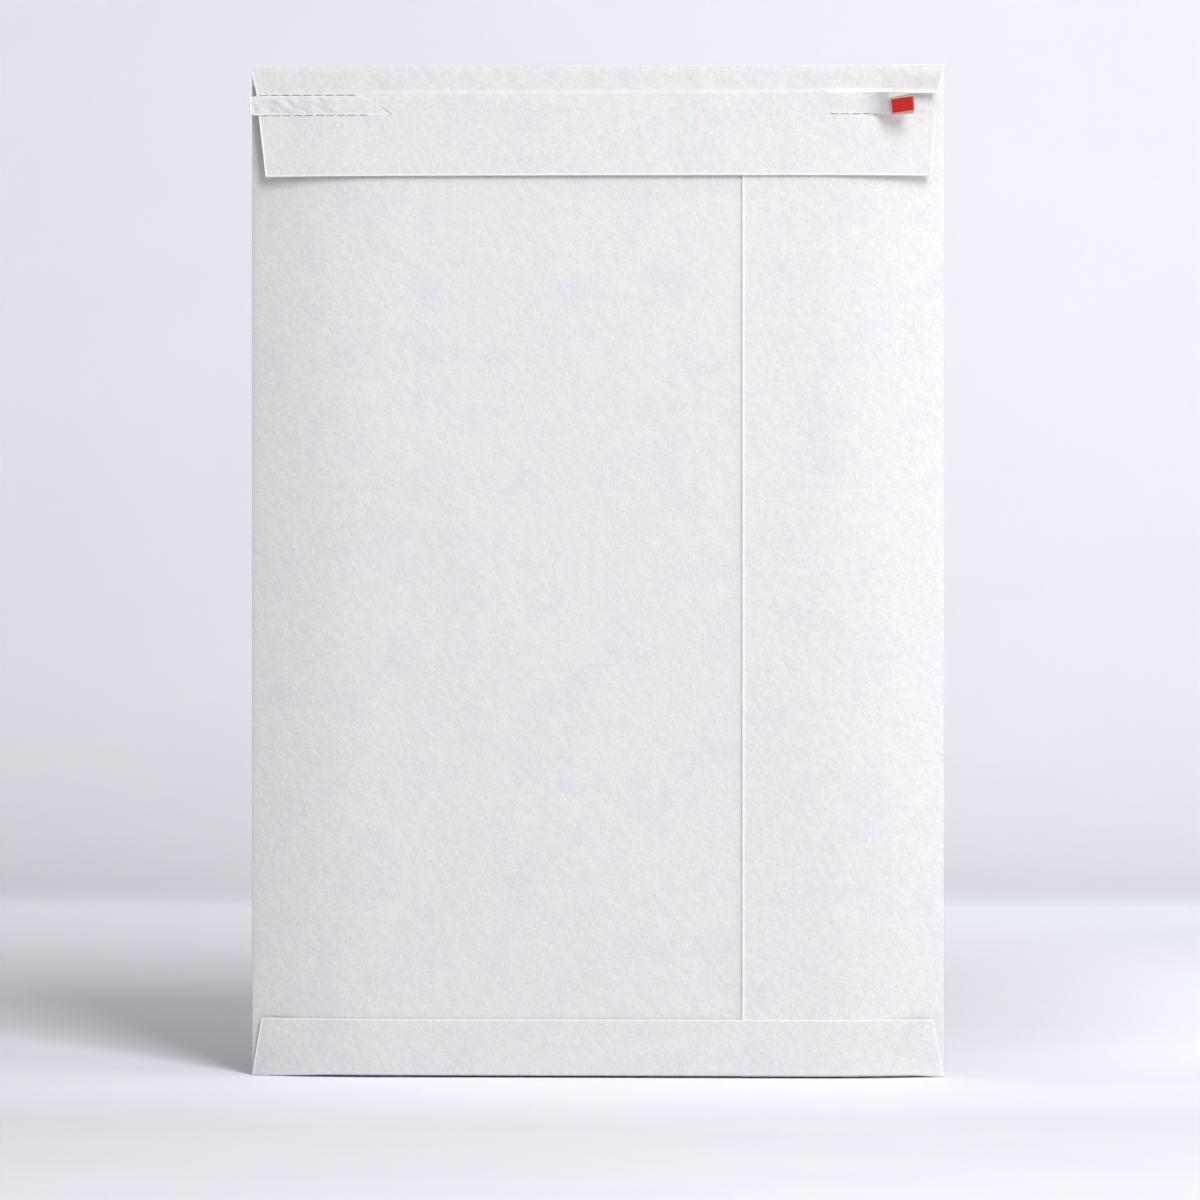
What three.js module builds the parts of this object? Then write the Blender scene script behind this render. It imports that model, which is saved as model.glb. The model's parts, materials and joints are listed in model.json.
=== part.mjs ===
// A pocket envelope with a tear strip, standing on its bottom fold with its flap side towards -Y.
// Millimetres, +Z up, +X to the right of someone who looks at the flap side.
// The origin is the middle of the bottom fold's underside.
// It is one die-cut blank, so each stretch of paper between two creases is a piece of its own here,
// and the creases that move are the edges where two pieces meet.
import * as THREE from "three";

// Sheet goods
const paper = 0.35; // thickness of the envelope paper
const tape = 0.1; // thickness of the tear tape
const glueFilm = 0.1; // thickness of a glued line
const adhesiveFilm = 0.15; // thickness of the sealing adhesive
const linerFilm = 0.1; // thickness of the release liner
const airGap = 0.05; // air between two layers that lie together
const tearGap = 0.1; // air along an edge that tears or folds apart
const foldRadius = 0.15; // a tab turns about a line this far outside its outer face

// Pocket
const width = 240;
const height = 350;
const pocketDepth = 6.4; // room inside the pocket, away from its sides
const sideEase = 30; // the back comes down to the side crease over this width
const easeSteps = 6; // facets that round each eased side
const mouthDrop = 4; // the back panels end this far below the top fold

// Back seam
const rightPanelWidth = 69.7; // from the right side crease to the seam's visible edge
const seamOverlap = 15; // the left panel runs this far under the right one
const seamGlueWidth = 9;
const seamGlueInset = 2; // glue starts this far in from the seam's visible edge
const seamGlueEnds = 6; // glue stops this far short of the panels' ends

// Bottom flap
const bottomFlapHeight = 20.25;
const bottomFlapTaper = 3.7; // each end comes in by this at the flap's free edge
const bottomGlueInset = 4; // glue stops this far short of the flap's free edge and of its fold
const bottomGlueSides = 2; // and this far short of the eased sides

// Top flap
const flapLength = 38.4; // from the top fold down to the flap's free edge
const flapInAtStrip = 2.4; // each side has come in by this at the tear strip
const flapInAtEdge = 4.5; // and by this at the free edge
const linerInset = 2; // liner to the flap's free edge, and to the tear strip
const linerSides = 4; // liner to the flap's sides
const adhesiveInset = 3; // adhesive to the liner's long edges
const adhesiveSides = 3; // adhesive to the liner's short ends

// Tear strip
const stripDrop = 10; // from the top fold down to the strip
const stripHeight = 7;
const tapeHeight = 4.7;
const tapeEndInset = 0.7; // the tape stops this far short of each end of the strip
const tabCorner = 1.2; // corner radius of a pull tab's free end
const cornerSteps = 4;

// Perforations beside the two pull tabs
const perforationPitch = 3.8;
const tieWidth = 0.7; // paper left between two cuts
const cutDepth = 0.25; // how far a cut opens into the flap
const upperRowLength = 34.5; // from the flap's side inwards, above the tab
const lowerRowLength = 38; // and below it

// Left pull tab: flush, and cut free of the strip along a curve at its root
const leftTabLength = 35.7; // along its upper edge
const rootReach = 13.8; // the curve runs on this far along the lower edge
const rootPower = 0.8; // bend of the curve, where 1 is a straight line
const rootSteps = 8;

// Right pull tab: lifted off the back, with its end folded over to show the tape
const rightTabRoot = 32.6; // from the right side crease in to the line that it lifts about
const rightTabLength = 23.6; // from that line out to the fold of its end
const rightTabLift = 19.8; // degrees
const pullEndFold = 172; // degrees, from in line with the tab to folded back on it
const pullEndTilt = 3.5; // degrees, the fold's lean from square across the tab

// Sizes worked out from the ones above
const halfWidth = width / 2;
const seamStep = paper + glueFilm + 2 * airGap; // the right panel rides this far over the left one
const layerStack = seamStep + paper + glueFilm + 3 * airGap + paper; // from the left panel's inner face out
const pocketDeep = paper + airGap + pocketDepth + layerStack;
const frontOuter = pocketDeep / 2; // the address side's outer face
const frontInner = frontOuter - paper;
const panelBottom = paper + airGap;
const panelTop = height - mouthDrop;
const seamEdge = halfWidth - rightPanelWidth;

const backLayers = {
  leftPanel: { seat: airGap, rise: pocketDepth },
  seamGlue: { seat: 2 * airGap + paper, rise: pocketDepth },
  rightPanel: { seat: airGap, rise: pocketDepth + seamStep },
  bottomGlue: { seat: 2 * airGap + paper, rise: pocketDepth + seamStep },
  bottomFlap: { seat: 3 * airGap + paper + glueFilm, rise: pocketDepth + seamStep },
};

const rightPanelOuter = frontInner - airGap - pocketDepth - seamStep - paper;
const linerInner = rightPanelOuter - airGap;
const adhesiveInner = linerInner - linerFilm - airGap;
const flapInner = adhesiveInner - adhesiveFilm - airGap;
const flapOuter = flapInner - paper;
const tapeInner = flapInner + airGap + tape;

const flapTop = height - paper - airGap;
const flapEdge = height - flapLength;
const stripTop = height - stripDrop;
const stripBottom = stripTop - stripHeight;
const stripMiddle = (stripTop + stripBottom) / 2;
const tabTop = stripTop - tearGap;
const tabBottom = stripBottom + tearGap;
const tapeTop = stripMiddle + tapeHeight / 2;
const tapeBottom = stripMiddle - tapeHeight / 2;

// Colours as the photograph shows them
const sheetWhite = new THREE.MeshStandardMaterial({ color: 0xeceeed, roughness: 0.85, metalness: 0 });
const foldWhite = new THREE.MeshStandardMaterial({ color: 0xe4e6e6, roughness: 0.85, metalness: 0 });
const sealRed = new THREE.MeshStandardMaterial({ color: 0xd5231f, roughness: 0.35, metalness: 0 });
const glueClear = new THREE.MeshStandardMaterial({ color: 0xe6dfc6, roughness: 0.4, metalness: 0 });
const linerPale = new THREE.MeshStandardMaterial({ color: 0xd9dcd6, roughness: 0.3, metalness: 0 });

// How far the back stands off the address side at x, from 0 at a side crease to 1 in the middle.
function easeAt(x) {
  const run = Math.max(0, Math.abs(x) - (halfWidth - sideEase)) / sideEase;
  return 1 - run * run;
}

// The inner face of one layer of the back at x.
function layerFace(layer, x) {
  return frontInner - layer.seat - layer.rise * easeAt(x);
}

// Where a bent sheet from left to right needs an edge: its ends, and the facets of both eased sides.
function stationsBetween(left, right) {
  const stations = [left, right];
  for (let step = 0; step < easeSteps; step++) {
    const x = halfWidth - sideEase + (sideEase * step) / easeSteps;
    stations.push(-x, x);
  }
  return stations.filter((x) => x >= left && x <= right).sort((a, b) => a - b);
}

// A sheet that follows one layer of the back. spreadAt(z) narrows it towards its free edge.
function bentSheet({ layer, left, right, bottom, top, thickness, spreadAt = () => 1 }) {
  const stations = stationsBetween(left, right);
  const corners = [];
  const pointAt = (station, z, depth) => {
    const x = station * spreadAt(z);
    return [x, layerFace(layer, x) - depth, z];
  };
  const quad = (a, b, c, d) => corners.push(...a, ...b, ...c, ...a, ...c, ...d);
  const column = (station) => ({
    innerLow: pointAt(station, bottom, 0),
    innerHigh: pointAt(station, top, 0),
    outerLow: pointAt(station, bottom, thickness),
    outerHigh: pointAt(station, top, thickness),
  });
  for (let i = 0; i + 1 < stations.length; i++) {
    const a = column(stations[i]);
    const b = column(stations[i + 1]);
    quad(a.outerLow, b.outerLow, b.outerHigh, a.outerHigh);
    quad(b.innerLow, a.innerLow, a.innerHigh, b.innerHigh);
    quad(a.outerLow, a.innerLow, b.innerLow, b.outerLow);
    quad(a.outerHigh, b.outerHigh, b.innerHigh, a.innerHigh);
  }
  const first = column(stations[0]);
  const last = column(stations.at(-1));
  quad(first.outerLow, first.outerHigh, first.innerHigh, first.innerLow);
  quad(last.outerLow, last.innerLow, last.innerHigh, last.outerHigh);
  const geometry = new THREE.BufferGeometry();
  geometry.setAttribute("position", new THREE.Float32BufferAttribute(corners, 3));
  geometry.computeVertexNormals();
  return geometry;
}

// A flat upright sheet: points are [x, z], inner is its +Y face.
function uprightSheet(points, inner, thickness) {
  const outline = new THREE.Shape(points.map(([x, z]) => new THREE.Vector2(x, z)));
  const geometry = new THREE.ExtrudeGeometry(outline, { depth: thickness, bevelEnabled: false });
  return geometry.rotateX(Math.PI / 2).translate(0, inner, 0);
}

function uprightRectangle(left, right, bottom, top, inner, thickness) {
  const points = [[left, bottom], [right, bottom], [right, top], [left, top]];
  return uprightSheet(points, inner, thickness);
}

function piece(name, geometry, material) {
  const mesh = new THREE.Mesh(geometry, material.clone());
  mesh.name = name;
  return mesh;
}

// Pocket
function frontPanel() {
  const geometry = uprightRectangle(-halfWidth, halfWidth, panelBottom, flapTop, frontOuter, paper);
  return piece("front_panel", geometry, sheetWhite);
}

function backPanel(name, layer, left, right) {
  const extent = { left, right, bottom: panelBottom, top: panelTop };
  return piece(name, bentSheet({ layer, ...extent, thickness: paper }), sheetWhite);
}

function sideSeamGlue() {
  const left = seamEdge + seamGlueInset;
  const geometry = bentSheet({
    layer: backLayers.seamGlue,
    left,
    right: left + seamGlueWidth,
    bottom: panelBottom + seamGlueEnds,
    top: panelTop - seamGlueEnds,
    thickness: glueFilm,
  });
  return piece("side_seam_glue", geometry, glueClear);
}

// The strip of paper that the envelope stands on, from the address side to the bottom flap.
function bottomFold() {
  const backEdge = stationsBetween(-halfWidth, halfWidth).map((x) => {
    return new THREE.Vector2(x, layerFace(backLayers.bottomFlap, x) - paper);
  });
  const frontEdge = [new THREE.Vector2(halfWidth, frontOuter), new THREE.Vector2(-halfWidth, frontOuter)];
  const outline = new THREE.Shape([...backEdge, ...frontEdge]);
  const geometry = new THREE.ExtrudeGeometry(outline, { depth: paper, bevelEnabled: false });
  return piece("bottom_fold", geometry, foldWhite);
}

function bottomFlap() {
  const geometry = bentSheet({
    layer: backLayers.bottomFlap,
    left: -halfWidth,
    right: halfWidth,
    bottom: panelBottom,
    top: bottomFlapHeight,
    thickness: paper,
    spreadAt: (z) => 1 - (bottomFlapTaper / halfWidth) * (z / bottomFlapHeight),
  });
  return piece("bottom_flap", geometry, sheetWhite);
}

function bottomFlapGlue() {
  const reach = halfWidth - sideEase - bottomGlueSides;
  const geometry = bentSheet({
    layer: backLayers.bottomGlue,
    left: -reach,
    right: reach,
    bottom: bottomGlueInset,
    top: bottomFlapHeight - bottomGlueInset,
    thickness: glueFilm,
  });
  return piece("bottom_flap_glue", geometry, glueClear);
}

// Top flap
function topFold() {
  const geometry = new THREE.BoxGeometry(width, frontOuter - flapOuter, paper);
  geometry.translate(0, (frontOuter + flapOuter) / 2, height - paper / 2);
  return piece("top_fold", geometry, foldWhite);
}

// Half the flap's width at z: its sides have one bend, beside the tear strip.
function flapHalfWidth(z) {
  const atStrip = halfWidth - flapInAtStrip;
  if (z >= stripTop) return THREE.MathUtils.mapLinear(z, height, stripTop, halfWidth, atStrip);
  return THREE.MathUtils.mapLinear(z, stripTop, flapEdge, atStrip, halfWidth - flapInAtEdge);
}

// The perforated edge of a band, from its left end to its right end. A cut opens by step into the band.
function perforatedEdge(z, rowLength, step) {
  const end = flapHalfWidth(z);
  const cuts = Math.floor((rowLength + tieWidth) / perforationPitch);
  const cutLength = perforationPitch - tieWidth;
  const leftRow = [];
  for (let k = 0; k < cuts; k++) {
    const start = -end + tieWidth + k * perforationPitch;
    leftRow.push([start, z], [start, z + step], [start + cutLength, z + step], [start + cutLength, z]);
  }
  const rightRow = leftRow.map(([x, at]) => [-x, at]).reverse();
  return [[-end, z], ...leftRow, ...rightRow, [end, z]];
}

function flapUpperBand() {
  const edge = perforatedEdge(stripTop, upperRowLength, cutDepth);
  const half = flapHalfWidth(flapTop);
  const points = [...edge, [half, flapTop], [-half, flapTop]];
  return piece("flap_upper_band", uprightSheet(points, flapInner, paper), sheetWhite);
}

function flapLowerBand() {
  const edge = perforatedEdge(stripBottom, lowerRowLength, -cutDepth).reverse();
  const half = flapHalfWidth(flapEdge);
  const points = [[-half, flapEdge], [half, flapEdge], ...edge];
  return piece("flap_lower_band", uprightSheet(points, flapInner, paper), sheetWhite);
}

const linerHalf = flapHalfWidth(flapEdge) - linerSides;
const linerBottom = flapEdge + linerInset;
const linerTop = stripBottom - linerInset;

function sealAdhesive() {
  const half = linerHalf - adhesiveSides;
  const [bottom, top] = [linerBottom + adhesiveInset, linerTop - adhesiveInset];
  const geometry = uprightRectangle(-half, half, bottom, top, adhesiveInner, adhesiveFilm);
  return piece("seal_adhesive", geometry, glueClear);
}

function releaseLiner() {
  const geometry = uprightRectangle(-linerHalf, linerHalf, linerBottom, linerTop, linerInner, linerFilm);
  return piece("release_liner", geometry, linerPale);
}

// Tear strip
// The curved cut at the left tab's root: x of the cut at height z.
function rootCut(z) {
  const share = THREE.MathUtils.clamp((stripTop - z) / stripHeight, 0, 1);
  return -halfWidth + leftTabLength + rootReach * share ** rootPower;
}

// The same cut, from bottom to top, as the edge of the tab (gap 0) or of the strip beyond it.
function rootEdge(bottom, top, gap) {
  const points = [];
  for (let step = 0; step <= rootSteps; step++) {
    const z = THREE.MathUtils.lerp(bottom, top, step / rootSteps);
    points.push([rootCut(z - gap) + gap, z]);
  }
  return points;
}

// A rounded corner about [x, z] that starts at an angle in degrees and turns a quarter clockwise.
function quarterTurn(x, z, radius, startAngle) {
  const points = [];
  for (let step = 0; step <= cornerSteps; step++) {
    const angle = THREE.MathUtils.degToRad(startAngle - (90 * step) / cornerSteps);
    points.push([x + radius * Math.cos(angle), z + radius * Math.sin(angle)]);
  }
  return points;
}

// The free end of a tab that points to -X, from its bottom corner round to its top one.
function freeEnd(x, bottom, top) {
  return [
    ...quarterTurn(x + tabCorner, bottom + tabCorner, tabCorner, 270),
    ...quarterTurn(x + tabCorner, top - tabCorner, tabCorner, 180),
  ];
}

const rightBend = halfWidth - rightTabRoot;

function tearStrip() {
  const right = rightBend - tearGap;
  const points = [[right, tabBottom], [right, tabTop], ...rootEdge(tabBottom, tabTop, tearGap).reverse()];
  return piece("tear_strip", uprightSheet(points, flapInner, paper), sheetWhite);
}

function tearTape() {
  const right = rightBend - tearGap;
  const points = [[right, tapeBottom], [right, tapeTop], ...rootEdge(tapeBottom, tapeTop, tearGap).reverse()];
  return piece("tear_tape", uprightSheet(points, tapeInner, tape), sealRed);
}

function leftTab() {
  const points = [...freeEnd(-halfWidth, tabBottom, tabTop), ...rootEdge(tabBottom, tabTop, 0).reverse()];
  return piece("left_tab", uprightSheet(points, flapInner, paper), sheetWhite);
}

function leftTabTape() {
  const left = -halfWidth + tapeEndInset;
  const points = [[left, tapeBottom], [left, tapeTop], ...rootEdge(tapeBottom, tapeTop, 0).reverse()];
  return piece("left_tab_tape", uprightSheet(points, tapeInner, tape), sealRed);
}

// Pieces of the right tab are drawn flat, with their line of lift or fold at x = 0, y = 0.
const tabFace = foldRadius + paper; // inner face of the paper, seen from that line
const tabTapeFace = tabFace + airGap + tape;

// Where the end's fold crosses the tab at height z, from its crossing at mid height.
function foldCrossing(z) {
  return -(z - stripMiddle) * Math.tan(THREE.MathUtils.degToRad(pullEndTilt));
}

function rightTabSheet(name, bottom, top, inner, thickness, material) {
  const reach = rightTabLength - tearGap;
  const [low, high] = [reach + foldCrossing(bottom), reach + foldCrossing(top)];
  const points = [[tearGap, bottom], [low, bottom], [high, top], [tearGap, top]];
  return piece(name, uprightSheet(points, inner, thickness), material);
}

const pullEndLength = rightTabRoot - rightTabLength;

function pullEnd() {
  const end = freeEnd(-pullEndLength, tabBottom, tabTop).map(([x, z]) => [-x, z]);
  const fold = [[foldCrossing(tabTop) + tearGap, tabTop], [foldCrossing(tabBottom) + tearGap, tabBottom]];
  return piece("pull_end", uprightSheet([...end, ...fold], tabFace, paper), sheetWhite);
}

function pullEndTape() {
  const right = pullEndLength - tapeEndInset;
  const fold = [[foldCrossing(tapeTop) + tearGap, tapeTop], [foldCrossing(tapeBottom) + tearGap, tapeBottom]];
  const points = [[right, tapeBottom], [right, tapeTop], ...fold];
  return piece("pull_end_tape", uprightSheet(points, tabTapeFace, tape), sealRed);
}

// A group at a place, turned in degrees about one of its own axes.
function turned(axis, degrees, ...children) {
  const group = new THREE.Group();
  group.rotation[axis] = THREE.MathUtils.degToRad(degrees);
  group.add(...children);
  return group;
}

// The folded end turns about a line that leans by pullEndTilt, so it is leaned, folded and leaned back.
function foldedEnd() {
  const flat = turned("y", pullEndTilt, pullEnd(), pullEndTape());
  for (const mesh of flat.children) mesh.position.z = -stripMiddle;
  const leaned = turned("y", -pullEndTilt, turned("z", -pullEndFold, flat));
  leaned.position.set(rightTabLength, 0, stripMiddle);
  return leaned;
}

function rightTab() {
  const sheet = rightTabSheet("right_tab", tabBottom, tabTop, tabFace, paper, sheetWhite);
  const tapeSheet = rightTabSheet("right_tab_tape", tapeBottom, tapeTop, tabTapeFace, tape, sealRed);
  const lifted = turned("z", -rightTabLift, sheet, tapeSheet, foldedEnd());
  lifted.position.set(rightBend, flapOuter - foldRadius, 0);
  return lifted;
}

const envelope = new THREE.Group();
envelope.add(
  frontPanel(),
  backPanel("left_back_panel", backLayers.leftPanel, -halfWidth, seamEdge + seamOverlap),
  backPanel("right_back_panel", backLayers.rightPanel, seamEdge, halfWidth),
  sideSeamGlue(),
  bottomFold(),
  bottomFlap(),
  bottomFlapGlue(),
  topFold(),
  flapUpperBand(),
  flapLowerBand(),
  sealAdhesive(),
  releaseLiner(),
  tearStrip(),
  tearTape(),
  leftTab(),
  leftTabTape(),
  rightTab(),
);

export default envelope;
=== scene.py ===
# %% [markdown]
# # A pocket envelope with a tear strip
# The construction model holds every piece at its real size and place, as plain facets.
# This lesson dresses it: fine sheets of paper with rounded creases, cut perforations, a
# wrinkled pull tab and red tear tape, then the finishes, the studio and the camera.

# %% Load the construction model
import json
import math
from collections import Counter
from functools import partial, reduce

import bmesh
import bpy
import numpy as np
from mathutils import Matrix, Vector, noise


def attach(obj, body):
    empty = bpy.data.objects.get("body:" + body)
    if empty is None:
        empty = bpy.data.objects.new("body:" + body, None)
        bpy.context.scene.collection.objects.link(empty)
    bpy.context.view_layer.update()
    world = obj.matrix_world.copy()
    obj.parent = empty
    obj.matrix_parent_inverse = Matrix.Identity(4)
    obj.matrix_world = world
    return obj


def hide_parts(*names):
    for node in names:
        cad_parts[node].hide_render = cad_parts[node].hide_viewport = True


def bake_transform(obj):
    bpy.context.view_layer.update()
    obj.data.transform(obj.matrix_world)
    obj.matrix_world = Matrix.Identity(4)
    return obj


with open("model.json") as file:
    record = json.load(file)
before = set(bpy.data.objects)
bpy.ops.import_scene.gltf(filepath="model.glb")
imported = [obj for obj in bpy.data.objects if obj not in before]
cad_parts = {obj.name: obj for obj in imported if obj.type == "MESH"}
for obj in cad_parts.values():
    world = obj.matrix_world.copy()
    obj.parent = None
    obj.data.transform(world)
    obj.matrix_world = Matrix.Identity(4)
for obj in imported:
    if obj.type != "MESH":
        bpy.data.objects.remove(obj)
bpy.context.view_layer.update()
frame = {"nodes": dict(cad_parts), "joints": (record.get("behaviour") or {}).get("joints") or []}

MM = 0.001

# %% [markdown]
# ## Sizes from the frame
# A dressing that repeats numbers drifts away from the model it stands for. So the sizes
# come from the model's own corners and joints, in millimetres, and only what the facets
# can't say is named here: how wide the eased sides are and how tight paper creases.

# %% Read sizes off the pieces
X, Y, Z = range(3)


def corners_of(node):
    mesh = frame["nodes"][node].data
    flat = np.empty(len(mesh.vertices) * 3)
    mesh.vertices.foreach_get("co", flat)
    return flat.reshape(-1, 3) / MM


def low(node, axis):
    return corners_of(node)[:, axis].min()


def high(node, axis):
    return corners_of(node)[:, axis].max()


def half_width_at(node, z):
    corners = corners_of(node)
    return corners[abs(corners[:, Z] - z) < 0.01, X].max()


half_width = high("top_fold", X)
height = high("top_fold", Z)
front_face = high("front_panel", Y)
paper = front_face - low("front_panel", Y)
panel_top = high("left_back_panel", Z)
left_back_face = low("left_back_panel", Y)
right_back_face = low("right_back_panel", Y)
seam_edge = low("right_back_panel", X)
left_free_edge = high("left_back_panel", X)
bottom_flap_face = low("bottom_flap", Y)
bottom_flap_top = high("bottom_flap", Z)
flap_face = low("flap_lower_band", Y)
flap_edge = low("flap_lower_band", Z)
strip_top = low("flap_upper_band", Z)
strip_bottom = high("flap_lower_band", Z)
print(f"envelope {2 * half_width:.1f} x {height:.1f} mm, paper {paper:.2f} mm")

# %% Sizes that the facets leave out
SIDE_EASE = 45.0  # the back comes down to its side creases over this width
SIDE_TURN = 2.0  # paper of a side crease that lies on the address side
CREASE = 0.7  # outer radius of the bottom creases
TOP_CREASE = 0.6  # and of the two at the mouth, which open
RIM = 0.09  # a cut edge is rounded by this much
TORN_RIM = 0.05  # a worn or torn one by this much
FILM_RIM = 0.02  # and the edge of a film by this much
EDGE_CURL = 0.24  # cut edges curl by this much
EDGE_REACH = 0.65  # over this distance
NEAR_EDGE = (0.2, 0.4, 0.65)  # the curl is drawn at these distances from it
flap_half_edge = half_width_at("flap_lower_band", flap_edge)
flap_half_strip = half_width_at("flap_upper_band", strip_top)
bottom_flap_taper = half_width - half_width_at("bottom_flap", bottom_flap_top)
tape_bottom, tape_top = low("tear_tape", Z), high("tear_tape", Z)
tape = high("tear_tape", Y) - low("tear_tape", Y)
near_sides = np.array([side * (half_width - inset) for side in (-1, 1) for inset in NEAR_EDGE])
print(f"tape {tape_top - tape_bottom:.1f} mm high, flap tapers to {2 * flap_half_edge:.1f} mm")

# %% [markdown]
# ## A sheet of paper
# Every paper piece is one thin sheet. It starts as a grid of points on its outer face, in
# rows that run up and columns that run right, so that right cross up points out. The
# inner face lies one paper thickness behind, along the surface's own normal, and walls
# join the two. Cut edges are rounded a little, because a cut edge that faces the lamp is
# the bright line that makes paper look like paper. Edges that only meet the next piece
# of the same blank stay square, so that no groove shows between them. Two numbers on each
# face tell the paper's finish about it: whether it is the inner face, and how much whiter
# it is painted, partly for worn and cut fibres and partly as a painted highlight.

# %% Grid helpers
SIDES = ("left", "right", "bottom", "top")


def surface_normals(points):
    right = np.gradient(points, axis=1)
    up = np.gradient(points, axis=0)
    normals = np.cross(right, up)
    return normals / np.linalg.norm(normals, axis=2, keepdims=True)


def stations(start, end, step, *extra):
    count = max(1, round(abs(end - start) / step))
    values = np.concatenate([np.linspace(start, end, count + 1), np.array(extra, float)])
    values = np.unique(np.round(values, 5))
    return values if end >= start else values[::-1]


def arc(centre, radius, start, end, steps=8):
    angles = np.radians(np.linspace(start, end, steps + 1))
    return [(centre[0] + radius * math.cos(a), centre[1] + radius * math.sin(a)) for a in angles]


def smooth_step(low_end, high_end, value):
    share = np.clip((value - low_end) / (high_end - low_end), 0, 1)
    return share * share * (3 - 2 * share)


def lit_edge(distance, depth, reach):
    """How far a cut edge curls, at a distance from it: nothing beyond its reach."""
    return depth * np.clip(1 - distance / reach, 0, 1) ** 2


def side_curl(x, half):
    """Cut sides that curl: the left one out, the right one back."""
    left = lit_edge(half + x, EDGE_CURL, EDGE_REACH)
    return left - lit_edge(half - x, EDGE_CURL, EDGE_REACH)


def upright_grid(columns, rows, depth):
    x, z = np.meshgrid(columns, rows)
    return np.stack([x, depth(x, z), z], axis=2)


def swept(path, columns):
    """A path of (y, z), repeated at every column."""
    y, z = (np.tile(values, (len(columns), 1)).T for values in zip(*path))
    return np.stack([np.tile(columns, (len(path), 1)), y, z], axis=2)

# %% The sheet maker
finishes = {}  # by slot, filled below


def show(thing):
    bpy.context.scene.collection.objects.link(thing)
    return thing


def borders(last_row, last_column):
    """The steps along each side of a grid, as pairs of places."""
    return {
        "left": [((row + 1, 0), (row, 0)) for row in range(last_row)],
        "right": [((row, last_column), (row + 1, last_column)) for row in range(last_row)],
        "bottom": [((0, column), (0, column + 1)) for column in range(last_column)],
        "top": [((last_row, column + 1), (last_row, column)) for column in range(last_column)],
    }


def sheet(
        name, node, outer, body=None, slot="envelope_paper", thickness=paper, behind=0.0,
        soft=SIDES, rim=RIM, wear_and_highlight=None):
    """A sheet that stands for one CAD node. Its face is the outer grid, or lies behind it."""
    normals = surface_normals(outer)
    face = outer - normals * behind
    rows, columns = face.shape[:2]
    points = np.concatenate([face.reshape(-1, 3), (face - normals * thickness).reshape(-1, 3)])
    bm = bmesh.new()
    vertices = [bm.verts.new(p * MM) for p in points]
    inside = bm.faces.layers.float.new("inside")
    edge_white_and_highlight = bm.faces.layers.float.new("edge_white_and_highlight")

    def at(place, inner=0):
        return vertices[(inner * rows + place[0]) * columns + place[1]]

    for row in range(rows - 1):
        for column in range(columns - 1):
            loop = ((row, column), (row, column + 1), (row + 1, column + 1), (row + 1, column))
            front = bm.faces.new([at(place) for place in loop])
            if wear_and_highlight:
                middle = outer[row:row + 2, column:column + 2].mean(axis=(0, 1))
                front[edge_white_and_highlight] = wear_and_highlight(middle[X], middle[Z])
            gaps = dict(zip(SIDES, (column, columns - 2 - column, row, rows - 2 - row)))
            # painted highlight: faces within two cells of a rounded side are painted whiter, as a bright
            # rim
            if any(gaps[side] < 2 for side in soft):
                front[edge_white_and_highlight] = 1.0
            bm.faces.new([at(place, 1) for place in reversed(loop)])[inside] = 1.0
    rounded = set()
    # the cut walls are painted whiter too: partly for their loose fibres, partly as a painted highlight
    for side, steps in borders(rows - 1, columns - 1).items():
        for start, end in steps:
            near, near_in, far_in, far = at(start), at(start, 1), at(end, 1), at(end)
            bm.faces.new((near, near_in, far_in, far))[edge_white_and_highlight] = 1.0
            if side in soft:
                rounded.update((bm.edges.get((near, far)), bm.edges.get((near_in, far_in))))
    if rounded:
        bmesh.ops.bevel(bm, geom=list(rounded), offset=rim * MM, segments=2, profile=0.5, affect="EDGES")
    mesh = bpy.data.meshes.new(name)
    bm.to_mesh(mesh)
    bm.free()
    mesh.polygons.foreach_set("use_smooth", [True] * len(mesh.polygons))
    mesh.set_sharp_from_angle(angle=math.radians(50))
    mesh.materials.append(finishes[slot])
    piece = show(bpy.data.objects.new(name, mesh))
    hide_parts(node)
    if body:
        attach(piece, body)
    print(f"{name}: {rows} x {columns} grid, {len(mesh.polygons)} faces")
    return piece


def film(name, node, face, body, slot, steps, rim=FILM_RIM):
    """A sheet that covers its CAD node's box and is as thick as it."""
    columns, rows = (
        stations(low(node, axis), high(node, axis), step) for axis, step in zip((X, Z), steps))
    thickness = high(node, Y) - low(node, Y)
    return sheet(name, node, upright_grid(columns, rows, face), body, slot, thickness, rim=rim)

# %% [markdown]
# ## Finishes
# Paper isn't one flat white. Its fibres give a fine mottle, short slanting streaks, soft
# clouds of tone and a few flecks. Five materials here need some of that, so it is a node
# group: it puts out heights and masks only, and each material uses them in its own way.


# %% Helpers for node trees
def feed(node, inputs):
    """Set inputs, given by name or in order, to values or to the sockets that feed them."""
    if isinstance(inputs, dict):
        pairs = [(node.inputs[name], value) for name, value in inputs.items()]
    else:
        pairs = zip([socket for socket in node.inputs if socket.enabled], inputs)
    for socket, value in pairs:
        if isinstance(value, bpy.types.NodeSocket):
            node.id_data.links.new(value, socket)
        else:
            socket.default_value = value


def add_node(tree, kind, inputs=(), **settings):
    node = tree.nodes.new(kind)
    for name, value in settings.items():
        setattr(node, name, value)
    feed(node, inputs)
    return node.outputs


def maths(tree, operation, *inputs, clamp=False):
    return add_node(tree, "ShaderNodeMath", inputs, operation=operation, use_clamp=clamp)[0]


def noise_node(tree, vector, **inputs):
    return add_node(tree, "ShaderNodeTexNoise", {"Vector": vector, **inputs})


def ramp(tree, value, start, end, first=0.0, last=1.0, kind="LINEAR"):
    """A mask that goes from first to last while the value goes from start to end."""
    inputs = (value, start, end, first, last)
    return add_node(tree, "ShaderNodeMapRange", inputs, interpolation_type=kind)[0]


def blend_colour(tree, amount, first, second, mode="MIX"):
    mixed = add_node(tree, "ShaderNodeMix", (amount, first, second), data_type="RGBA", blend_type=mode)
    return [socket for socket in mixed if socket.enabled][0]


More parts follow.
